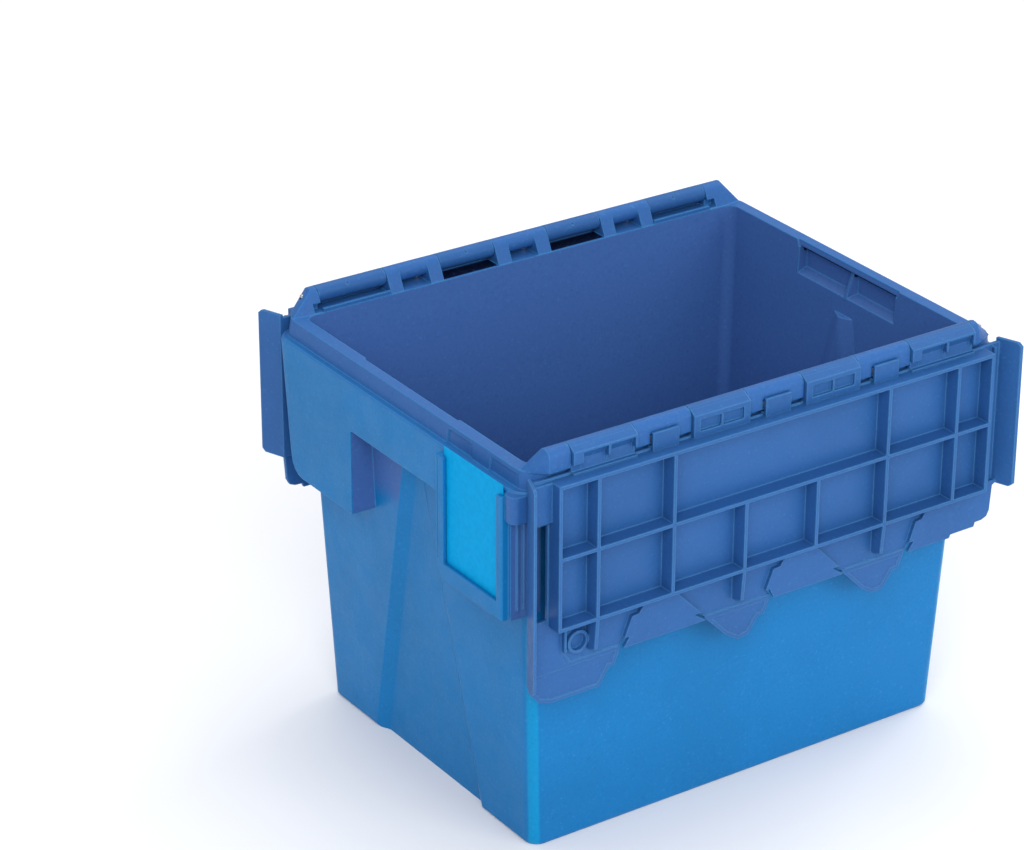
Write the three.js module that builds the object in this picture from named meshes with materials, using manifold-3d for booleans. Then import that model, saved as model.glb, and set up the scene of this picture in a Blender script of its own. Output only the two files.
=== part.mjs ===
// Attached-lid stacking crate, 400 x 300 mm: a tapered open tub whose two lid halves hang, fully
// opened, outside the long sides on steel hinge rods. One label card sits in the holder on an end.
// Millimetres, +Z up. X runs along the long side, Y across, the origin is under the base centre.
// Apart from the ends of the hinge bores, the tub and the pair of lids look the same when turned
// half a turn about Z.

import * as THREE from 'three';
import { mergeVertices } from 'three/addons/utils/BufferGeometryUtils.js';
import { ConvexGeometry } from 'three/addons/geometries/ConvexGeometry.js';
import Module from 'manifold-3d';

const wasm = await Module();
wasm.setup();

// ---- driving dimensions -------------------------------------------------------------------
const WALL = 2.5;
const RIM_Z = 285;                          // top of the rim, where the opening is measured
const BASE = { x: 168, y: 124 };            // half sizes of the tub's outer foot
const MOUTH = { x: 178, y: 132 };           // half sizes of the opening
const CORNER_R = 10;                        // vertical corners of the tub
const FLOOR_Z = 5;                          // inner floor
const FOOT_RING = 9;                        // width of the ring the crate stands on
const FOOT_DEPTH = 2.5;                     // how far the underside is set up inside that ring

const RIM_X = 187;                          // half length of the flat rim top
const RIM_Y = 145.5;                        // half width of the rim, inside the hanging lids
const STEP_X = 189.3;                       // foot of the rim's steep outer face
const LEDGE_Z = 273.3;                      // ledge below it, under the closed lid's skirt
const APRON_X = 194.5;                      // face of the end aprons
const APRON_Z = 177.5;                      // lower edge of the aprons
const GRIP = { y0: -50, y1: 58, z: 239 };   // hand cut-out in the apron at +X, up to the holder
const POCKET = { y: 54, z0: 255, z1: 281, depth: 6.5 };   // finger pocket inside each end wall

const AXIS = { y: 144, z: 294 };            // hinge axis of a lid, outside the opening
const HUB_R = 6;
const BORE_R = 2.1;
const ROD_R = 2;
const ROD_HALF = 173.5;
const LID_HUBS = [[-158.3, -110], [-66.5, -22.5], [22.5, 66.5], [110, 163]];
const BODY_HUBS = [[-109.5, -67], [-22, 22], [67, 109.5]];
const CORNER_HUBS = [[-158.8, -174.5], [163.5, 168]];   // end blocks, from inside to outside
const LIP_HALF = 10;                        // half width of the lips that close a hub window
const WINDOW_HALF = 11;
const UPSTAND = { y0: 132.3, y1: 134.3, top: 287.8 };   // low wall behind the two long lid hubs

// The lid is drawn closed, in (x, d, h): d runs from the hinge axis to the far lid, h runs up.
const DECK = { top: -2.5, under: -5 };
const LOW = { top: -5.8, under: -8.3 };     // parts of the deck that slip below the other lid
const RIB = { tip: -16.5, thick: 2.4 };
const SKIRT = { root: 188.7, tip: 195.4, thick: 2.2, depth: 19.8, start: 10 };
// Teeth along the free edge, as (x, d) points with x growing. The first one fills a corner; the
// other two repeat one outline from the x values in TOOTH_STARTS.
const TOOTH_TIP = 171.3;
const TOOTH_BASE = 147;
const CORNER_TOOTH = [[-SKIRT.root, 154.5], [-186.5, 162], [-181, 168.5], [-172, TOOTH_TIP],
  [-134.5, TOOTH_TIP], [-127.5, 159.6], [-122.8, 159], [-118.5, TOOTH_BASE]];
const TOOTH = [[0, TOOTH_BASE], [18, 165.5], [27.6, TOOTH_TIP], [36.2, 170.2], [43.7, 159.5],
  [48.7, 159], [53.6, TOOTH_BASE]];
const TOOTH_STARTS = [-52, 60.7];
const SLIP = 0.8;                           // clearance between the meshed teeth
const DECK_START = 12.5;
const FIELD_X = 173;                        // half length of the ribbed field
const CROSS_RIBS = [15, 65, 114.3];         // distances of the ribs that run along X
const UPRIGHT_RIBS = [86.1, 144.2];         // x of the full-height ribs, on each side
const SHORT_RIB = 29;                       // x of the ribs in the lower row only
const TOOTH_RIB = { end: 139.4, tip: -8.8 };   // ribs that run on from the field to the teeth
const TOOTH_LINE = { d: 145.6, tip: -5.7 };    // low line across the root of each tooth
const OVER_RIM = -8.5;                      // lowest h that passes over the tub's rim
const SEAL = { x: -153.4, d: 131.4, outer: 8, inner: 6 };   // round seat near the long skirt's corner
const SEAL_BOX = [[-163.4, 114.3], [-163.4, 136], [-158.4, 145.6]];   // frame round it, in (x, d)

const HOLDER = { face: 200, y0: 60, y1: 134.6, side: 137, z0: 183, z1: 269.5 };
const CARD = { y0: 66, y1: 132, z0: 191, z1: 276, back: 196.2, thick: 0.8 };

// ---- solids --------------------------------------------------------------------------------
function solid(geometry) {
  let clean = geometry.index ? geometry.toNonIndexed() : geometry.clone();
  clean.deleteAttribute('normal');
  clean.deleteAttribute('uv');
  clean = mergeVertices(clean, 1e-4);
  // Rounding keeps faces that share a plane exactly flush with each other.
  const positions = clean.attributes.position.array;
  return new wasm.Manifold(new wasm.Mesh({
    numProp: 3,
    vertProperties: Float32Array.from(positions, (value) => Math.round(value * 1e4) / 1e4),
    triVerts: new Uint32Array(clean.index.array),
  }));
}

const hull = (points) => solid(new ConvexGeometry(points.map((p) => new THREE.Vector3(...p))));

function box(x0, x1, y0, y1, z0, z1) {
  const geometry = new THREE.BoxGeometry(x1 - x0, y1 - y0, z1 - z0);
  geometry.translate((x0 + x1) / 2, (y0 + y1) / 2, (z0 + z1) / 2);
  return solid(geometry);
}

const join = (parts) => parts.reduce((sum, part) => sum.add(part));
const cut = (part, tools) => tools.reduce((rest, tool) => rest.subtract(tool), part);

function shapeOf(points) {
  return points instanceof THREE.Shape ? points : new THREE.Shape(
    points.map(([a, b]) => new THREE.Vector2(a, b)));
}

// An outline in (x, y), extruded up from z0 to z1.
function prismZ(points, z0, z1, curveSegments = 5) {
  const geometry = new THREE.ExtrudeGeometry(shapeOf(points),
    { depth: z1 - z0, bevelEnabled: false, curveSegments });
  geometry.translate(0, 0, z0);
  return solid(geometry);
}

// An outline in (y, z), extruded from x0 to x1.
function prismX(points, x0, x1, curveSegments = 5) {
  const geometry = new THREE.ExtrudeGeometry(shapeOf(points),
    { depth: x1 - x0, bevelEnabled: false, curveSegments });
  geometry.applyMatrix4(new THREE.Matrix4().makeBasis(
    new THREE.Vector3(0, 1, 0), new THREE.Vector3(0, 0, 1), new THREE.Vector3(1, 0, 0)));
  geometry.translate(x0, 0, 0);
  return solid(geometry);
}

function rodX(radius, x0, x1, y, z, segments = 20) {
  const geometry = new THREE.CylinderGeometry(radius, radius, x1 - x0, segments);
  geometry.rotateZ(Math.PI / 2);
  geometry.translate((x0 + x1) / 2, y, z);
  return solid(geometry);
}

function rodZ(radius, x, y, z0, z1, segments = 20) {
  const geometry = new THREE.CylinderGeometry(radius, radius, z1 - z0, segments);
  geometry.rotateX(Math.PI / 2);
  geometry.translate(x, y, (z0 + z1) / 2);
  return solid(geometry);
}

// One ring of a rounded rectangle at height z.
function ring(halfX, halfY, radius, z, steps = 5) {
  const points = [];
  for (let quarter = 0; quarter < 4; quarter += 1) {
    const sx = quarter === 0 || quarter === 3 ? 1 : -1;
    const sy = quarter < 2 ? 1 : -1;
    for (let step = 0; step <= steps; step += 1) {
      const angle = (quarter + step / steps) * Math.PI / 2;
      points.push([sx * (halfX - radius) + radius * Math.cos(angle),
        sy * (halfY - radius) + radius * Math.sin(angle), z]);
    }
  }
  return points;
}

// The same solid turned half a turn about Z.
function turned(part) {
  const { vertProperties, triVerts } = part.getMesh();
  return new wasm.Manifold(new wasm.Mesh({
    numProp: 3,
    vertProperties: vertProperties.map((value, i) => (i % 3 === 2 ? value : -value)),
    triVerts,
  }));
}

const twice = (part) => part.add(turned(part));

// ---- the tub -------------------------------------------------------------------------------
const taper = (z) => z / RIM_Z;
const outerX = (z) => BASE.x + (MOUTH.x + WALL - BASE.x) * taper(z);
const outerY = (z) => BASE.y + (MOUTH.y + WALL - BASE.y) * taper(z);

const outerTub = () => hull([
  ...ring(outerX(0) - 1.5, outerY(0) - 1.5, CORNER_R - 1.5, 0),
  ...ring(outerX(2), outerY(2), CORNER_R, 2),
  ...ring(outerX(RIM_Z - 1), outerY(RIM_Z - 1), CORNER_R, RIM_Z - 1),
]);

const innerTub = () => hull([
  ...ring(outerX(FLOOR_Z) - WALL - 2, outerY(FLOOR_Z) - WALL - 2, CORNER_R - WALL, FLOOR_Z),
  ...ring(outerX(FLOOR_Z + 3) - WALL, outerY(FLOOR_Z + 3) - WALL, CORNER_R - WALL, FLOOR_Z + 3),
  ...ring(outerX(RIM_Z + 1) - WALL, outerY(RIM_Z + 1) - WALL, CORNER_R - WALL, RIM_Z + 1),
]);

// The middle of each end wall is set back between two piers that widen towards the top. The flanks
// of this bay are flat and lean together, so it runs out in a point under the rim.
const BAY = { depth: 5, foot: 66, lean: 0.235, flank: 2.1, top: 245 };
function bay(inset) {
  const face = (z) => BAY.foot - BAY.lean * z;
  const apex = (BAY.foot - BAY.flank * BAY.depth) / BAY.lean;
  const points = [];
  for (const [z, rise] of [[-2, 0], [apex, 0], [BAY.top, inset]]) {
    const depth = Math.min(BAY.depth, face(z) / BAY.flank);
    for (const x of [6, -depth - inset]) {
      const half = face(z) + BAY.flank * x + inset * (1.4 + BAY.flank * 0.6);
      for (const side of [-1, 1]) points.push([outerX(z) + x, side * half, z + rise]);
    }
  }
  return hull(points);
}

// Outline of an apron in (y, z): its ends lean in towards the bottom and have round corners.
function apronOutline(inset) {
  const top = 140 - inset;
  const low = 131 - inset;
  const radius = 18 - inset;
  const shape = [];
  for (const side of [1, -1]) {
    const turns = [0, 1, 2, 3, 4].map((step) => step * Math.PI / 8);
    const corner = turns.map((angle) => [
      side * (low - radius + radius * Math.cos(angle)),
      APRON_Z + radius - radius * Math.sin(angle)]);
    const edge = [[side * top, LEDGE_Z - 1], ...corner];
    shape.push(...(side === 1 ? edge : edge.reverse()));
  }
  return shape;
}

function apron() {
  const at = (x, inset, drop = 0) => apronOutline(inset).map(
    ([y, z]) => [x, y, z < APRON_Z + 20 ? z - drop : z]);
  const shell = hull([...at(172, 0), ...at(APRON_X - 5, 0), ...at(APRON_X - 1.4, 1.6),
    ...at(APRON_X, 5)]);
  const hollow = hull([...at(160, WALL, 30), ...at(APRON_X - 5, WALL, 30),
    ...at(APRON_X - WALL, 5.5, 30)]);
  const { y0, y1, z } = GRIP;
  const opening = new THREE.Shape();
  opening.moveTo(y0, 150);
  opening.lineTo(y1, 150);
  opening.lineTo(y1, z - 9);
  opening.quadraticCurveTo(y1, z, y1 - 9, z);
  opening.lineTo(y0 + 2, z);
  opening.quadraticCurveTo(y0, z, y0, z - 2);
  const cheeks = [[y0 - WALL, y0], [y1, y1 + WALL]].map(
    ([a, b]) => box(170, APRON_X - 1, a, b, APRON_Z, LEDGE_Z - 1));
  return cut(shell, [hollow]).add(join(cheeks)).subtract(prismX(opening, 150, 210));
}

function rim() {
  const upper = hull([...ring(RIM_X, RIM_Y, 14, RIM_Z), ...ring(STEP_X, RIM_Y, 14, LEDGE_Z),
    ...ring(STEP_X, RIM_Y, 14, LEDGE_Z - 3)]);
  const lower = hull([...ring(APRON_X - 1, RIM_Y, 14, LEDGE_Z), ...ring(APRON_X, RIM_Y, 14, LEDGE_Z - 1),
    ...ring(APRON_X, RIM_Y, 14, LEDGE_Z - 6)]);
  const upperHollow = hull([...ring(RIM_X - WALL, RIM_Y - WALL, 12, RIM_Z - 3),
    ...ring(STEP_X - WALL, RIM_Y - WALL, 12, LEDGE_Z - 3), ...ring(STEP_X - WALL, RIM_Y - WALL, 12, 250)]);
  const lowerHollow = hull([...ring(APRON_X - WALL, RIM_Y - WALL, 12, LEDGE_Z - WALL),
    ...ring(APRON_X - WALL, RIM_Y - WALL, 12, 250)]);
  return upper.add(lower).subtract(upperHollow).subtract(lowerHollow);
}

// Finger pocket: a box set back into the end wall from the inside, with its own thin walls.
function pocketShape(grow) {
  const deep = outerX(POCKET.z1) - WALL + POCKET.depth + grow;
  const near = 165;
  const z0 = POCKET.z0 - grow;
  const z1 = POCKET.z1 + (grow ? 2 : 0);
  return hull([
    [near, POCKET.y + grow, z0], [near, -POCKET.y - grow, z0],
    [near, POCKET.y + grow, z1], [near, -POCKET.y - grow, z1],
    [deep, POCKET.y + grow - 2, z0 + 9], [deep, -POCKET.y - grow + 2, z0 + 9],
    [deep, POCKET.y + grow - 2, z1], [deep, -POCKET.y - grow + 2, z1],
  ]);
}

// Cross-section of a hinge block on the -Y side, in (y, z).
function hingeOutline() {
  const arc = [35, 60, 85, 110, 135, 160, 180].map((degrees) => {
    const angle = degrees * Math.PI / 180;
    return [-AXIS.y + HUB_R * Math.cos(angle), AXIS.z + HUB_R * Math.sin(angle)];
  });
  return [[-MOUTH.y - 0.5, RIM_Z], [-AXIS.y + HUB_R, AXIS.z + 2], ...arc, [-AXIS.y - HUB_R, RIM_Z]];
}

const hingeBlock = (x0, x1) => prismX([[-MOUTH.y - 0.5, RIM_Z - 1.5], ...hingeOutline(),
  [-RIM_Y + 0.5, RIM_Z - 1.5]], x0, x1);

function bodyHinge() {
  const blocks = BODY_HUBS.map(([x0, x1]) => {
    const middle = (x0 + x1) / 2;
    const window = box(middle - WINDOW_HALF, middle + WINDOW_HALF, -155, -128, RIM_Z, 310);
    const hub = rodX(HUB_R, middle - WINDOW_HALF - 1, middle + WINDOW_HALF + 1, -AXIS.y, AXIS.z, 28);
    return hingeBlock(x0, x1).subtract(window).add(hub);
  });
  // The end blocks slope down to the corners of the rim. Each has a square hole beside its hub.
  for (const [x0, x1] of CORNER_HUBS) {
    const side = Math.sign(x0);
    const block = hull([
      ...hingeOutline().flatMap(([y, z]) => [[x0, y, z], [x1, y, z]]),
      [side * 186, -134, RIM_Z], [side * 183.5, -142.5, RIM_Z],
    ]);
    const foot = box(Math.min(x0, side * 183), Math.max(x0, side * 183), -142, -134, RIM_Z - 2,
      RIM_Z + 1);
    const hole = box(Math.min(x0 - side, x0 + side * 6), Math.max(x0 - side, x0 + side * 6),
      -139.5, -130, RIM_Z + 0.5, RIM_Z + 6);
    blocks.push(block.add(foot).subtract(hole));
  }
  for (const [x0, x1] of [LID_HUBS[0], LID_HUBS[3]]) {
    blocks.push(box(x0, x1, -UPSTAND.y1, -UPSTAND.y0, RIM_Z - 1, UPSTAND.top));
  }
  return join(blocks);
}

// The label holder stands 5 mm proud of an apron; the frame's grooves hold the card's edges.
function holder() {
  const { face, y0, y1, z0, z1 } = HOLDER;
  const { back, thick } = CARD;
  const outline = [[-y0, z1], [-y0, z0 + 8], [-y0 - 8, z0], [-y1, z0], [-y1, z1]];
  const inner = [[-y0 - 1, z1], [-y0 - 1, z0 + 9], [-y0 - 8.5, z0 + 1.2], [-y1 + 1, z0 + 1.2],
    [-y1 + 1, z1]];
  const at = (x, points) => points.map(([y, z]) => [x, y, z]);
  const block = hull([...at(-APRON_X + 3, outline), ...at(-face + 1, outline), ...at(-face, inner)]);
  const recess = box(-face - 1, -back, -CARD.y1 + 3, -CARD.y0 - 3, CARD.z0 + 4, z1 + 5);
  const groove = box(-back - thick - 0.4, -back + 0.4, -CARD.y1 - 0.5, -CARD.y0 + 0.5,
    CARD.z0 - 0.4, z1 + 5);
  const line = box(-face - 1, -face + 0.8, -y0 - 3.4, -y0 - 2.4, z0 + 14, z1 + 5);
  const wall = -HOLDER.side;
  const side = box(-APRON_X + 1, -172, wall, wall + WALL, z0, LEDGE_Z - 1);
  const front = box(-APRON_X, -APRON_X + WALL, wall, -y0, z0, LEDGE_Z - 1);
  const cap = hull([254, LEDGE_Z - 1].flatMap((z) => ring(9, 6, 5, z).map(
    ([x, y]) => [-face + 10.5 + x, -RIM_Y + 6 + y, z])));
  const ribs = join([-190.5, -186, -181.5].map((x) => box(x, x + 1.4, wall - 1.6, wall + 1, z0 + 6,
    255)));
  return join([cut(block, [recess, groove, line]), side, front, cap, ribs]);
}

// Two catches for the lid's skirt, cut into the steep face of the rim above the holder.
function catches() {
  const cutters = [[57, 84], [105, 135]].map(([y0, y1]) => hull([
    [-192, -y0, LEDGE_Z], [-192, -y1 - 2.5, LEDGE_Z], [-192, -y0, 282], [-192, -y1, 282],
    [-188.2, -y0, LEDGE_Z], [-188.2, -y1 - 2.5, LEDGE_Z], [-186.6, -y0, 282], [-186.6, -y1, 282]]));
  return join(cutters);
}

function underside() {
  const x = BASE.x - FOOT_RING;
  const y = BASE.y - FOOT_RING;
  const relief = hull([...ring(x, y, 6, -1), ...ring(x - 1, y - 1, 6, FOOT_DEPTH)]);
  const ribs = [-x / 3, x / 3].map((rib) => box(rib - 1, rib + 1, -y - 1, y + 1, 0.4, FOOT_DEPTH + 1));
  ribs.push(box(-x - 1, x + 1, -1, 1, 0.4, FOOT_DEPTH + 1));
  return relief.subtract(join(ribs));
}

function tub() {
  const outside = outerTub();
  const bays = twice(bay(0));
  const bayBacks = twice(bay(WALL)).intersect(outside);
  const pockets = twice(pocketShape(WALL));
  const skin = twice(apron()).add(rim()).add(twice(holder()));
  const walls = join([outside, skin, pockets, twice(bodyHinge())]);
  const inside = cut(innerTub(), [bayBacks]);
  const lip = hull([[176, POCKET.y, 280], [176, -POCKET.y, 280], [178.4, POCKET.y, 280],
    [178.4, -POCKET.y, 280], [176, POCKET.y + 2, 286], [176, -POCKET.y - 2, 286],
    [179.8, POCKET.y + 2, 286], [179.8, -POCKET.y - 2, 286]]);
  let body = cut(walls, [inside, bays.subtract(pockets), twice(pocketShape(0)), underside(),
    twice(catches()), twice(lip)]);
  // One upright rib divides each finger pocket.
  const divider = twice(hull([[176, -1.5, POCKET.z0 + 2], [176, 1.5, POCKET.z0 + 2],
    [190, -8, POCKET.z0 + 8], [190, -5, POCKET.z0 + 8], [190, -8, POCKET.z1 + 1],
    [190, -5, POCKET.z1 + 1], [182, -4, POCKET.z1 + 1], [182, -1, POCKET.z1 + 1]])
    .intersect(pocketShape(1)));
  body = body.add(divider);
  // The rods go in from the +X end and stop inside the blocks at the other end.
  return cut(body, [-AXIS.y, AXIS.y].map((y) => rodX(BORE_R, -ROD_HALF - 1.5, 210, y, AXIS.z, 24)));
}

// ---- a lid half ----------------------------------------------------------------------------
// (d, h) of the closed lid are (y, z) here; the finished half is swung open about its hinge.
function hubArm(x0, x1, long) {
  const hub = rodX(HUB_R, x0, x1, 0, 0, 28);
  const arm = prismX([[-4.6, -4], [-1.8, -8.6], [13.5, -8.6], [13.5, DECK.top], [8.5, DECK.top],
    [5.5, 0.5], [4, 4.4]], x0, x1);
  const [from, to] = long ? [x0 + 7.5, x1 - 1.5] : [x0 + 5, x1 - 5];
  const middle = (from + to) / 2;
  const pocket = long ? [[-0.3, -9], [12, -9], [12, -5.6], [6, -3.6], [-0.3, -6.4]]
    : [[1.5, -9], [9.5, -9], [9.5, -6.2], [1.5, -6.6]];
  const cutters = [[from, middle - 0.8], [middle + 0.8, to]].map(([a, b]) => prismX(pocket, a, b));
  // A groove along the underside of the long hubs passes over the tub's low wall.
  if (long) cutters.push(box(x0 - 1, x1 + 1, 6.8, 12.3, -9, -5.6));
  const dimple = new THREE.SphereGeometry(1.3, 10, 6);
  dimple.translate(middle, -HUB_R * 0.72, HUB_R * 0.72);
  return cut(hub.add(arm), [...cutters, solid(dimple)]);
}

const placed = (tooth, x) => tooth.map(([dx, d]) => [x + dx, d]);
const acrossX = (points) => points.map(([x, d]) => [-x, 2 * AXIS.y - d]).reverse();

// Outline of the deck in (x, d). Its right-hand corner is drawn in, below the far corner tooth.
function deckOutline() {
  return [[-SKIRT.root, DECK_START], ...CORNER_TOOTH,
    ...TOOTH_STARTS.flatMap((x) => placed(TOOTH, x)),
    [150.4, TOOTH_BASE], [151.4, 144.6], [171.7, 144.4], [172.6, 141.4], [178.4, 141.2],
    [182.6, 139.5], [184.6, 135.5], [186, 117],
    [SKIRT.root, 115.5], [SKIRT.root, DECK_START]];
}

// A closed outline moved outwards by a distance, corner by corner.
function grown(points, distance) {
  const area = points.reduce((sum, [x, y], i) => {
    const [nextX, nextY] = points[(i + 1) % points.length];
    return sum + x * nextY - nextX * y;
  }, 0);
  const normal = ([x0, y0], [x1, y1]) => {
    const length = Math.sign(area) * Math.hypot(x1 - x0, y1 - y0);
    return [(y1 - y0) / length, (x0 - x1) / length];
  };
  return points.map((point, i) => {
    const [ax, ay] = normal(points.at(i - 1), point);
    const [bx, by] = normal(point, points[(i + 1) % points.length]);
    const reach = distance / (1 + ax * bx + ay * by);
    return [point[0] + reach * (ax + bx), point[1] + reach * (ay + by)];
  });
}

// Where the far lid's teeth lie on this one when both are closed, grown by a clearance.
function farTeeth(grow, h0, h1) {
  const gaps = [CORNER_TOOTH.at(-1)[0], ...TOOTH_STARTS.flatMap((x) => [x, x + TOOTH.at(-1)[0]])];
  const shapes = [...TOOTH_STARTS].reverse().map((x, index) => [
    [gaps[index * 2] + 1, TOOTH_BASE + 1.5], [gaps[index * 2], TOOTH_BASE],
    ...acrossX(placed(TOOTH, x)),
    [gaps[index * 2 + 1], TOOTH_BASE], [gaps[index * 2 + 1] - 1, TOOTH_BASE + 1.5]]);
  shapes.push([[gaps[4] + 1, TOOTH_BASE + 1.5], [gaps[4], TOOTH_BASE],
    ...acrossX(CORNER_TOOTH).slice(0, 4), [200, 2 * AXIS.y - TOOTH_TIP], [200, TOOTH_BASE + 1.5]]);
  return join(shapes.map((shape) => prismZ(grown(shape, grow), h0, h1)));
}

// The deck steps down by a little more than its thickness where the far teeth lie on it. Past the
// middle of the crate the lowered part stands free, so the two halves can pass each other.
function deck() {
  const outline = deckOutline();
  const near = box(-200, 200, 0, 2 * AXIS.y - TOOTH_BASE - SLIP, -10, 0);
  const low = farTeeth(SLIP + 2.4, -10, 0).intersect(near).add(farTeeth(-0.4, -10, 0));
  return prismZ(outline, DECK.under, DECK.top)
    .add(prismZ(outline, LOW.under, DECK.under + 0.4).intersect(low))
    .subtract(farTeeth(SLIP, LOW.top, 0));
}

// Shallow panels on the underside of the teeth, past the rib across their roots.
function toothPanels() {
  const outlines = [[...CORNER_TOOTH, [CORNER_TOOTH[0][0], TOOTH_BASE]],
    ...TOOTH_STARTS.map((x) => placed(TOOTH, x))];
  return join(outlines.map((points) => prismZ(grown(points, -2.6), DECK.under - 1,
    DECK.under + 0.7))).intersect(box(-200, 200, TOOTH_BASE + 2, 200, -10, 0));
}

// A low rib, half as wide as the others, from one (x, d) point to the next.
function line(points) {
  const half = RIB.thick / 4;
  return join(points.slice(1).map((end, index) => hull([points[index], end].flatMap(
    ([x, d]) => [DECK.under + 0.5, TOOTH_LINE.tip].flatMap((h) => [[x - half, d - half, h],
      [x + half, d - half, h], [x + half, d + half, h], [x - half, d + half, h]])))));
}

// Ribs under the teeth: field ribs that run on towards them, and low lines across their roots.
function toothRibs() {
  const half = RIB.thick / 2;
  const { end, tip } = TOOTH_RIB;
  const free = CROSS_RIBS[2];
  const along = [-UPRIGHT_RIBS[1], -SHORT_RIB, UPRIGHT_RIBS[0]].map((x) => hull(
    [x - half, x + half].flatMap((side) => [[side, free, -4.5], [side, free, RIB.tip],
      [side, end - 2.5, RIB.tip + 2], [side, end, tip], [side, end, -4.5]])));
  const across = TOOTH_STARTS.map((x) => [x, x + TOOTH.at(-1)[0]]).concat(
    [[-UPRIGHT_RIBS[1], CORNER_TOOTH.at(-1)[0]]]).map(
    ([x0, x1]) => line([[x0 + 2, TOOTH_LINE.d], [x1 - 2, TOOTH_LINE.d]]));
  const seal = line([...SEAL_BOX, [-UPRIGHT_RIBS[1], TOOTH_LINE.d]]);
  const [[wall, start], [, stop]] = SEAL_BOX;
  const side = box(wall - 0.8, wall + 0.8, start, stop, tip, DECK.under + 0.5);
  return join([...along, ...across, seal, side]);
}

// The ribs are one slab with a hole for each cell: five cells in a row beside the hinge, seven in
// the row beyond it.
function ribs() {
  const half = RIB.thick / 2;
  const [hinge, middle, free] = CROSS_RIBS;
  const slab = box(-FIELD_X - half, FIELD_X + half, hinge - half, free + half, RIB.tip,
    DECK.under + 0.5);
  const lines = [...UPRIGHT_RIBS, FIELD_X];
  const cells = [[hinge, middle, lines], [middle, free, [SHORT_RIB, ...lines]]].flatMap(
    ([d0, d1, right]) => [...right.map((x) => -x).reverse(), ...right].slice(1).map(
      (x, index, all) => [index === 0 ? -FIELD_X : all[index - 1], x, d0, d1]));
  return cut(slab, cells.map(([x0, x1, d0, d1]) => box(x0 + half, x1 - half, d0 + half, d1 - half,
    RIB.tip - 1, 0)));
}

// A skirt hangs from each end of the closed deck, outside the rim. It flares a little.
function skirt(side, end) {
  const { root, tip, thick, depth, start } = SKIRT;
  const corner = 2.5;
  const outline = [[start, DECK.top], [start, -depth + corner], [start + corner, -depth],
    [end - corner, -depth], [end, -depth + corner], [end, DECK.top]];
  const flare = (h) => root + (tip - root) * (DECK.top - h) / (DECK.top + depth);
  const points = [];
  for (const [d, h] of outline) {
    points.push([side * flare(h), d, h], [side * (flare(h) - thick), d, h]);
  }
  return hull(points);
}

function lidClosed() {
  const parts = [deck(), ribs(), toothRibs(), skirt(-1, 153), skirt(1, 116)];
  LID_HUBS.forEach(([x0, x1], index) => parts.push(hubArm(x0, x1, index % 3 === 0)));
  for (const [x0, x1] of BODY_HUBS) {
    const middle = (x0 + x1) / 2;
    parts.push(box(middle - LIP_HALF, middle + LIP_HALF, 1, DECK_START + 1, -8.6, -6.6));
    parts.push(box(middle - LIP_HALF, middle + LIP_HALF, DECK_START - 1.5, DECK_START + 1, -8.6,
      DECK.top));
  }
  // Beside the field the deck is thick near the hinge at one end and ribbed at the other.
  parts.push(box(-SKIRT.root + 1, -FIELD_X, DECK_START + 1.5, 41, OVER_RIM, DECK.under + 0.5));
  parts.push(box(180.6, 182.2, DECK_START + 1.5, 115, OVER_RIM, DECK.under + 0.5));
  parts.push(rodZ(SEAL.outer, SEAL.x, SEAL.d, -8.4, DECK.under + 0.5, 28));
  const cutters = [rodX(BORE_R, -200, 200, 0, 0, 24),
    rodZ(SEAL.inner, SEAL.x, SEAL.d, -30, DECK.under + 0.4, 28),
    box(-183.6, -175, 44, 111, -30, 10), toothPanels()];
  return cut(join(parts), cutters);
}

// ---- scene graph ---------------------------------------------------------------------------
const plastic = (color) => new THREE.MeshStandardMaterial({ color, roughness: 0.45, metalness: 0 });
const materials = {
  tub: plastic(0x2a78c2),
  lid: plastic(0x3d6fb4),
  card: new THREE.MeshStandardMaterial({ color: 0x06a3dc, roughness: 0.6, metalness: 0 }),
  steel: new THREE.MeshStandardMaterial({ color: 0xb9bcc0, roughness: 0.3, metalness: 1 }),
};

function mesh(name, part, material) {
  const { vertProperties, triVerts, numProp } = part.getMesh();
  const positions = new Float32Array(vertProperties.length / numProp * 3);
  for (let i = 0, j = 0; i < vertProperties.length; i += numProp, j += 3) {
    positions.set(vertProperties.slice(i, i + 3), j);
  }
  const geometry = new THREE.BufferGeometry();
  geometry.setAttribute('position', new THREE.BufferAttribute(positions, 3));
  geometry.setIndex(new THREE.BufferAttribute(new Uint32Array(triVerts), 1));
  const clean = mergeVertices(geometry, 1e-4);
  clean.computeVertexNormals();
  const node = new THREE.Mesh(clean, material);
  node.name = name;
  return node;
}

// A lid half and its rod, placed on the -Y side: the closed lid swings 270 degrees open.
function lidSide(suffix) {
  const side = new THREE.Group();
  const swing = new THREE.Group();
  swing.position.set(0, -AXIS.y, AXIS.z);
  swing.rotation.x = -Math.PI / 2;
  swing.add(mesh(`lid_${suffix}`, lidClosed(), materials.lid));
  side.add(swing);
  side.add(mesh(`hinge_rod_${suffix}`, rodX(ROD_R, -ROD_HALF, ROD_HALF, -AXIS.y, AXIS.z, 24),
    materials.steel));
  return side;
}

function card() {
  const { y0, y1, z0, z1, back, thick } = CARD;
  return box(-back - thick, -back, -y1 + 0.1, -y0 - 0.1, z0, z1);
}

const crate = new THREE.Group();
crate.add(mesh('tub', tub(), materials.tub));
crate.add(lidSide('front'));
const backSide = lidSide('back');
backSide.rotation.z = Math.PI;
crate.add(backSide);
crate.add(mesh('label_card', card(), materials.card));

export default crate;
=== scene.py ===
"""Looks of the attached-lid stacking crate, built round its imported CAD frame. Metres, +Z up."""

import math

import bpy
from mathutils import Matrix, Vector

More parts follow.
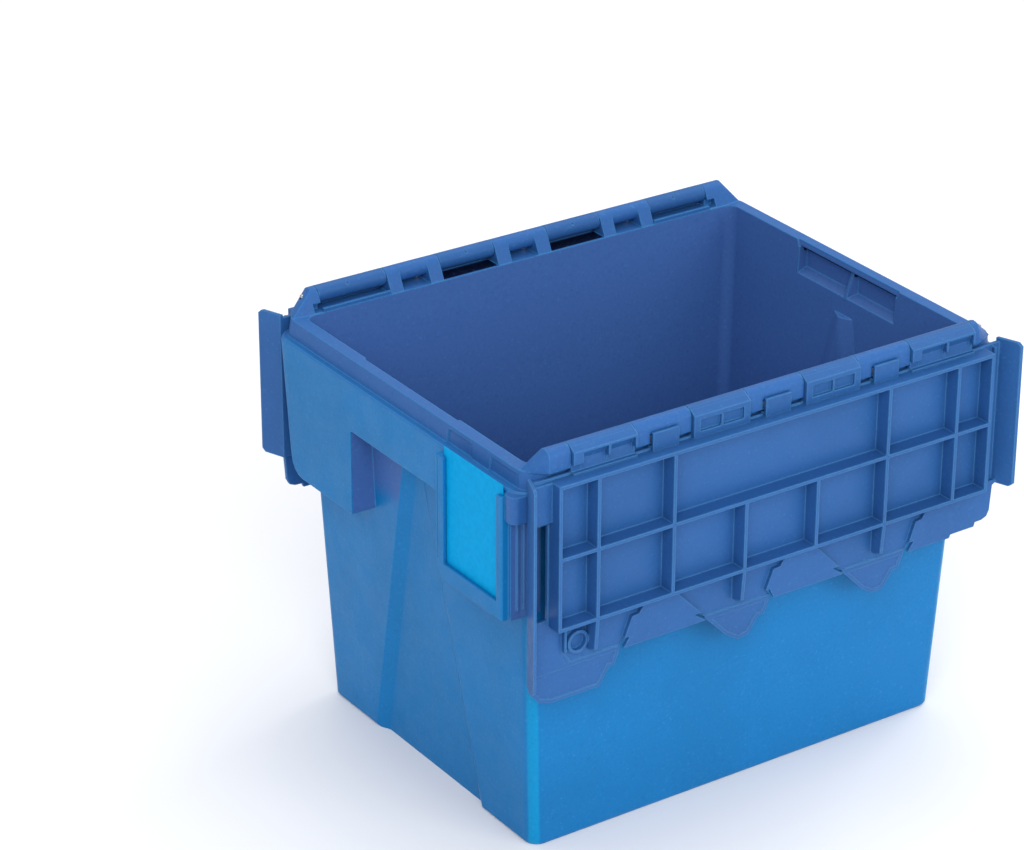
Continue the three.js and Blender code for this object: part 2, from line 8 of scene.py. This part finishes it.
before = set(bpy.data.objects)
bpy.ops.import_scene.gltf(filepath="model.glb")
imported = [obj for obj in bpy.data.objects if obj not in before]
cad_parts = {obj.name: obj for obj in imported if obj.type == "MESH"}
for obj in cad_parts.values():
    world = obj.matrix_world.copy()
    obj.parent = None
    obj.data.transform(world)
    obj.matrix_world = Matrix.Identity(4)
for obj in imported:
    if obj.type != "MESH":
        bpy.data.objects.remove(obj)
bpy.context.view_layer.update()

# ---- the tub's sizes, as in the CAD: heights z, and distances x and y from the middle ---------
RIM_Z = 0.285
LEDGE_Z = 0.2733                            # foot of the rim's steep face
APRON_X, APRON_Z = 0.1945, 0.1775           # face and lower edge of the end aprons
FOOT_HALF = (0.168, 0.124)                  # half sizes of the outside at the floor
SPREAD = (0.0125, 0.0105)                   # how much each grows up to the rim
WALL = 0.0025
CORNER_R = 0.010                            # outer radius of the upright corners
FLOOR_SKIN_Z = 0.0035                       # between the floor's two faces
END_WALLS_X = FOOT_HALF[0] - 0.02           # only the end walls lie beyond this
# Set-back panel of the end walls: half width at the floor, narrowing per height, flank width over
# depth, and top.
BAY = {"depth": 0.005, "foot": 0.066, "lean": 0.235, "flank": 2.1, "top": 0.246}
# Finger pocket inside each end wall, painted in the darker inner shade, with a near-black
# painted-shade slit under its lip.
POCKET = {"y": 0.0565, "z": (0.2525, 0.2838), "x": 0.1855, "slit_z": 0.2765, "slit_x": 0.1815}
# Hollow behind an apron in painted shade, and the height over which the wall behind it fades into
# that painted shade.
GRIP = {"x": APRON_X - 0.001, "y": 0.0615, "z": (APRON_Z - 0.001, 0.252), "fade": (0.184, 0.204)}
# Painted shade: a near-black tone in the gap under the short hubs of the lid.
HUB_GAP_SHADE = {"x": (0.0225, 0.0665), "y": 0.1336, "z": (0.2845, RIM_Z + 0.0015)}
# Sides of the label holders, which also take the rim's painted shade.
HOLDER_SIDE = {"x": FOOT_HALF[0] + 0.0035, "y": 0.1348}
# Heights between which the wall takes the rim's painted shade, and where the corners' painted
# highlight lies.
RIM_SHADE_FADE = (LEDGE_Z - 0.004, LEDGE_Z + 0.003)
CORNER_HIGHLIGHT_FADE = {"bend": (0.0028, 0.0050), "z": (0.19, 0.15)}

# ---- looks -----------------------------------------------------------------------------------
DARK_SPECK, PALE_SPECK = (24, 66, 128), (86, 160, 220)
EDGE_HIGHLIGHT_RADIUS = 0.0015                        # reach of the painted highlight along edges
GRAIN_DEPTH = 0.00012


# ---- node helpers ----------------------------------------------------------------------------
class Graph:
    """A small writer for material node trees."""

    def __init__(self, name):
        self.material = bpy.data.materials.new(name)
        self.material.use_nodes = True
        self.nodes = self.material.node_tree.nodes
        self.links = self.material.node_tree.links
        self.nodes.clear()
        self.output = self.add("ShaderNodeOutputMaterial")
        self.shader = self.add("ShaderNodeBsdfPrincipled")
        self.link(self.shader, "BSDF", self.output, "Surface")
        self.place = self.add("ShaderNodeTexCoord")

    def add(self, kind, **settings):
        node = self.nodes.new(kind)
        for key, value in settings.items():
            setattr(node, key, value)
        return node

    def link(self, source, output, target, socket):
        self.links.new(source.outputs[output], target.inputs[socket])

    def math(self, operation, a, b=None):
        node = self.add("ShaderNodeMath", operation=operation)
        for index, value in enumerate((a, b)):
            if value is None:
                continue
            if isinstance(value, (int, float)):
                node.inputs[index].default_value = value
            else:
                self.links.new(value, node.inputs[index])
        return node.outputs[0]

    def above(self, value, limit):
        return self.math("GREATER_THAN", value, limit)

    def below(self, value, limit):
        return self.math("LESS_THAN", value, limit)

    def between(self, value, limits):
        return self.math("MULTIPLY", self.above(value, limits[0]), self.below(value, limits[1]))

    def noise(self, scale, detail=2.0, roughness=0.5, vector=None):
        node = self.add("ShaderNodeTexNoise")
        node.inputs["Scale"].default_value = scale
        node.inputs["Detail"].default_value = detail
        node.inputs["Roughness"].default_value = roughness
        self.links.new(vector or self.place.outputs["Object"], node.inputs["Vector"])
        return node.outputs[0]

    def ramp(self, value, stops):
        """A blend between two (position, colour) stops."""
        node = self.add("ShaderNodeValToRGB")
        for element, (position, colour) in zip(node.color_ramp.elements, stops):
            element.position = position
            element.color = (*colour, 1)
        self.links.new(value, node.inputs[0])
        return node.outputs[0]

    def mix(self, factor, a, b):
        node = self.add("ShaderNodeMix", data_type="RGBA")
        for index, value in ((0, factor), (6, a), (7, b)):
            if isinstance(value, tuple):
                node.inputs[index].default_value = (*value, 1)
            else:
                self.links.new(value, node.inputs[index])
        return node.outputs[2]

    def map_range(self, value, low, high, out_low=0.0, out_high=1.0):
        node = self.add("ShaderNodeMapRange", interpolation_type="SMOOTHSTEP")
        self.links.new(value, node.inputs[0])
        for index, number in enumerate((low, high, out_low, out_high), start=1):
            node.inputs[index].default_value = number
        return node.outputs[0]

    def affine(self, value, factor, offset):
        """value * factor + offset."""
        node = self.add("ShaderNodeMath", operation="MULTIPLY_ADD")
        self.links.new(value, node.inputs[0])
        node.inputs[1].default_value, node.inputs[2].default_value = factor, offset
        return node.outputs[0]

    def all_of(self, *tests):
        result = tests[0]
        for test in tests[1:]:
            result = self.math("MULTIPLY", result, test)
        return result

    def xyz(self):
        node = self.add("ShaderNodeSeparateXYZ")
        self.links.new(self.place.outputs["Object"], node.inputs[0])
        return node.outputs


def srgb(red, green, blue):
    """Linear colour from display values 0 to 255."""
    return tuple((c / 255 / 12.92) if c < 10.3 else ((c / 255 + 0.055) / 1.055) ** 2.4
                 for c in (red, green, blue))


def beyond_core(g, x, y, z):
    """How far a point lies outside the tub's outer wall less its corner radius, in metres."""
    deltas = []
    for value, foot, spread in ((x, FOOT_HALF[0], SPREAD[0]), (y, FOOT_HALF[1], SPREAD[1])):
        half = g.affine(z, spread / RIM_Z, foot - CORNER_R)
        deltas.append(g.math("SUBTRACT", g.math("ABSOLUTE", value), half))
    outside = [g.math("MAXIMUM", delta, 0.0) for delta in deltas]
    squares = [g.math("MULTIPLY", part, part) for part in outside]
    round_part = g.math("SQRT", g.math("ADD", *squares))
    flat_part = g.math("MINIMUM", g.math("MAXIMUM", *deltas), 0.0)
    return g.math("ADD", round_part, flat_part), outside


def tub_light_and_shade_zones(g):
    """Masks told by place for painted light: shade inside, in hollows and on the rim, a highlight
    on the upright corners, and near-black shade in slots no light reaches.
    """
    x, y, z = g.xyz()
    distance, outside = beyond_core(g, x, y, z)
    along, across = g.math("ABSOLUTE", x), g.math("ABSOLUTE", y)
    # The bay's wall is set back by a depth that grows along its flanks.
    past_flank = g.math("SUBTRACT", g.affine(z, -BAY["lean"], BAY["foot"]), across)
    set_back = g.math("MINIMUM", g.affine(past_flank, 1 / BAY["flank"], 0.0), BAY["depth"])
    set_back = g.all_of(g.math("MAXIMUM", set_back, 0.0), g.below(z, BAY["top"]),
                        g.above(along, END_WALLS_X))
    mid_wall = g.affine(set_back, -1.0, CORNER_R - WALL / 2)
    # Painted shade: the inside skin and the finger pockets take the darker inner tone.
    skin = g.all_of(g.below(distance, mid_wall), g.between(z, (FLOOR_SKIN_Z, RIM_Z - 0.0004)))
    pocket = g.all_of(g.below(across, POCKET["y"]), g.between(z, POCKET["z"]),
                      g.below(along, POCKET["x"]))
    # The hollow that the hand reaches into behind an apron, and the pier of wall seen through it,
    # both in painted shade.
    behind = g.all_of(g.between(along, (FOOT_HALF[0], GRIP["x"])), g.below(z, GRIP["z"][1]))
    hollow = g.all_of(behind, g.above(distance, CORNER_R + 0.0003), g.above(z, GRIP["z"][0]))
    pier = g.all_of(behind, g.above(distance, CORNER_R - 0.002), g.below(across, GRIP["y"]),
                    g.below(past_flank, 0.0), g.below(g.math("MULTIPLY", x, y), 0.0),
                    g.map_range(z, *GRIP["fade"]))
    grip_shade = g.math("MAXIMUM", hollow, pier)
    inner_shade = g.math("MAXIMUM", g.math("MAXIMUM", skin, pocket), grip_shade)
    # Painted shade: near-black in the slit under each pocket's lip and in the gap under each short
    # hub.
    under_lip = g.all_of(pocket, g.above(z, POCKET["slit_z"]), g.above(along, POCKET["slit_x"]))
    under_hub = g.all_of(g.between(z, HUB_GAP_SHADE["z"]), g.above(across, HUB_GAP_SHADE["y"]),
                         g.between(along, HUB_GAP_SHADE["x"]))
    slot_shade = g.math("MAXIMUM", under_lip, under_hub)
    # Painted shade: the rim and the sides of the label holders take a darker violet tone.
    cheek = g.all_of(g.above(across, HOLDER_SIDE["y"]), g.above(along, HOLDER_SIDE["x"]),
                     g.above(z, APRON_Z))
    rim_shade = g.math("MAXIMUM", g.map_range(z, *RIM_SHADE_FADE), cheek)
    # Painted highlight: a paler band down the rounded upright corners, fading out towards the
    # floor.
    bend = g.math("MINIMUM", *outside)
    corner_highlight = g.math("MULTIPLY", g.map_range(bend, *CORNER_HIGHLIGHT_FADE["bend"]),
                    g.map_range(z, *CORNER_HIGHLIGHT_FADE["z"]))
    return inner_shade, rim_shade, corner_highlight, slot_shade


def add_bump(g, height, strength, distance):
    """Adds a bump to the shader and returns its node."""
    bump = g.add("ShaderNodeBump")
    bump.inputs["Strength"].default_value = strength
    bump.inputs["Distance"].default_value = distance
    g.links.new(height, bump.inputs["Height"])
    g.link(bump, "Normal", g.shader, "Normal")
    return bump


def moulded(name, tone, edge_highlight, painted_tones=None):
    """Injection-moulded plastic: fine spark grain, faint flow marks, a painted highlight along
    edges, and painted light and shade by place where tones are given.
    """
    g = Graph(name)
    cloud = g.noise(9.0, 3.0, 0.6)
    fine = g.noise(1400.0, 2.0, 0.6)
    speck = g.noise(430.0, 3.0, 0.7)
    base = g.mix(g.map_range(cloud, 0.35, 0.65), tuple(c * 0.94 for c in tone),
                 tuple(min(1, c * 1.05) for c in tone))
    if painted_tones:
        inner_shade, rim_shade, corner_highlight, slot_shade = tub_light_and_shade_zones(g)
        # Painted light by place: corner highlight, then shade on the rim, inside and in slots.
        for mask, zone in ((corner_highlight, "corner_highlight"), (rim_shade, "rim_shade"), (inner_shade, "inner_shade"), (slot_shade, "slot_shade")):
            base = g.mix(mask, base, painted_tones[zone])
    base = g.mix(g.map_range(speck, 0.50, 0.74, 0.0, 0.22), base, srgb(*DARK_SPECK))
    base = g.mix(g.map_range(speck, 0.42, 0.26, 0.0, 0.18), base, srgb(*PALE_SPECK))
    # Painted highlight: edges turn paler where the normal of a rounded surface turns away from the
    # true one.
    bevel = g.add("ShaderNodeBevel", samples=4)
    bevel.inputs["Radius"].default_value = EDGE_HIGHLIGHT_RADIUS
    geometry = g.add("ShaderNodeNewGeometry")
    dot = g.add("ShaderNodeVectorMath", operation="DOT_PRODUCT")
    g.link(bevel, "Normal", dot, 0)
    g.link(geometry, "Normal", dot, 1)
    base = g.mix(g.map_range(dot.outputs["Value"], 0.995, 0.85, 0.0, 0.75), base, edge_highlight)
    g.links.new(base, g.shader.inputs["Base Color"])
    rough = g.map_range(g.noise(60.0, 3.0, 0.6), 0.3, 0.7, 0.37, 0.50)
    g.links.new(rough, g.shader.inputs["Roughness"])
    g.shader.inputs["Specular IOR Level"].default_value = 0.16
    bump = add_bump(g, fine, 0.35, GRAIN_DEPTH)
    g.link(bevel, "Normal", bump, "Normal")
    return g.material


def steel_wire():
    """Drawn wire with fine streaks along it."""
    g = Graph("drawn_steel")
    streaks = g.add("ShaderNodeMapping")
    streaks.inputs["Scale"].default_value = (4, 600, 600)
    g.link(g.place, "Object", streaks, "Vector")
    lines = g.noise(3.0, 3.0, 0.6, streaks.outputs[0])
    g.links.new(g.ramp(lines, [(0.3, (0.42, 0.43, 0.45)), (0.7, (0.62, 0.63, 0.65))]),
                g.shader.inputs["Base Color"])
    g.links.new(g.map_range(lines, 0.3, 0.7, 0.22, 0.38), g.shader.inputs["Roughness"])
    g.shader.inputs["Metallic"].default_value = 1.0
    return g.material


def card_stock():
    """Plain coloured card with a faint grain."""
    g = Graph("label_card_stock")
    fibres = g.noise(260.0, 4.0, 0.65)
    base = g.ramp(fibres, [(0.3, srgb(0, 146, 204)), (0.7, srgb(2, 158, 216))])
    g.links.new(base, g.shader.inputs["Base Color"])
    g.shader.inputs["Roughness"].default_value = 0.6
    g.shader.inputs["Specular IOR Level"].default_value = 0.05
    add_bump(g, fibres, 0.15, 0.0001)
    return g.material


# The tub's painted tones: darker shade inside and on the rim, a paler highlight on the upright
# corners, near-black shade in slots.
TUB = moulded("tub_plastic", srgb(13, 111, 172), edge_highlight=srgb(60, 142, 200),
              painted_tones={"inner_shade": srgb(64, 101, 162), "rim_shade": srgb(46, 95, 157),
                     "corner_highlight": srgb(0, 134, 188), "slot_shade": srgb(6, 10, 34)})
LID = moulded("lid_plastic", srgb(44, 92, 151), edge_highlight=srgb(76, 142, 196))
STEEL = steel_wire()
CARD = card_stock()

# The CAD's triangles are joined up, then every moulded edge is rounded by its width in metres.
for node, material, width in (("tub", TUB, 0.0007), ("lid_front", LID, 0.0005),
                              ("lid_back", LID, 0.0005), ("label_card", CARD, 0.0002),
                              ("hinge_rod_front", STEEL, 0.0), ("hinge_rod_back", STEEL, 0.0)):
    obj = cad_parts[node]
    obj.data.materials.clear()
    obj.data.materials.append(material)
    weld = obj.modifiers.new("join", "WELD")
    weld.merge_threshold = 0.000005
    if width:
        bevel = obj.modifiers.new("moulded_edges", "BEVEL")
        bevel.width, bevel.segments = width, 2
        # The limit lies between the facets of the hinge barrels and the flanks of the bays.
        bevel.limit_method, bevel.angle_limit = "ANGLE", math.radians(25.2)
        bevel.use_clamp_overlap = True
        bevel.miter_outer = "MITER_ARC"
    for face in obj.data.polygons:
        face.use_smooth = True
    normals = obj.modifiers.new("shading", "WEIGHTED_NORMAL")
    normals.keep_sharp = True

# ---- camera ----------------------------------------------------------------------------------
azimuth, elevation, roll = (math.radians(v) for v in (-35.06, 26.02, 0.53))
back = Vector((math.sin(azimuth) * math.cos(elevation), -math.cos(azimuth) * math.cos(elevation),
               math.sin(elevation)))
right = (-back).cross(Vector((0, 0, 1))).normalized()
up = right.cross(-back)
turned_right = right * math.cos(roll) + up * math.sin(roll)
turned_up = up * math.cos(roll) - right * math.sin(roll)
camera = bpy.data.objects.new("camera", bpy.data.cameras.new("camera"))
bpy.context.collection.objects.link(camera)
camera.data.sensor_width = 36
camera.data.lens = 130.10625
camera.data.shift_x, camera.data.shift_y = -0.0538, 0.0051
camera.data.clip_start, camera.data.clip_end = 0.05, 60
axes = Matrix((turned_right, turned_up, back)).transposed().to_4x4()
camera.matrix_world = Matrix.Translation(Vector((0.0498, 0.1517, 0.1317)) + back * 2.6624) @ axes
bpy.context.scene.camera = camera

# ---- floor and light -------------------------------------------------------------------------
mesh = bpy.data.meshes.new("floor")
mesh.from_pydata([(-8, -8, 0), (8, -8, 0), (8, 8, 0), (-8, 8, 0)], [], [(0, 1, 2, 3)])
floor = bpy.data.objects.new("floor", mesh)
bpy.context.collection.objects.link(floor)
g = Graph("floor_paint")
g.links.new(g.ramp(g.noise(0.6, 2.0), [(0.3, (0.86, 0.86, 0.87)), (0.7, (0.90, 0.90, 0.90))]),
            g.shader.inputs["Base Color"])
g.shader.inputs["Roughness"].default_value = 0.7
mesh.materials.append(g.material)


def area_light(name, place, aim_z, size, power):
    """A rectangular lamp that looks at a point of the crate's own upright axis."""
    data = bpy.data.lights.new(name, "AREA")
    data.shape = "RECTANGLE"
    data.size, data.size_y = size
    data.energy = power
    lamp = bpy.data.objects.new(name, data)
    lamp.location = place
    aim = Vector((0, 0, aim_z)) - Vector(place)
    lamp.rotation_euler = aim.to_track_quat("-Z", "Y").to_euler()
    bpy.context.collection.objects.link(lamp)


area_light("key", (-1.7, -2.2, 2.2), 0.12, (1.8, 1.8), 50)
area_light("front", (0.8, -2.8, 1.3), 0.12, (1.8, 1.4), 26)
area_light("top", (0.4, 0.8, 2.8), 0.1, (2.2, 2.2), 26)
area_light("rear", (2.7, 0.5, 1.9), 0.15, (1.4, 1.2), 26)

world = bpy.data.worlds.new("studio")
bpy.context.scene.world = world
world.use_nodes = True
background = world.node_tree.nodes["Background"]
background.inputs["Color"].default_value = (0.93, 0.95, 1.0, 1)
background.inputs["Strength"].default_value = 0.72
bpy.context.scene.view_settings.view_transform = "Standard"
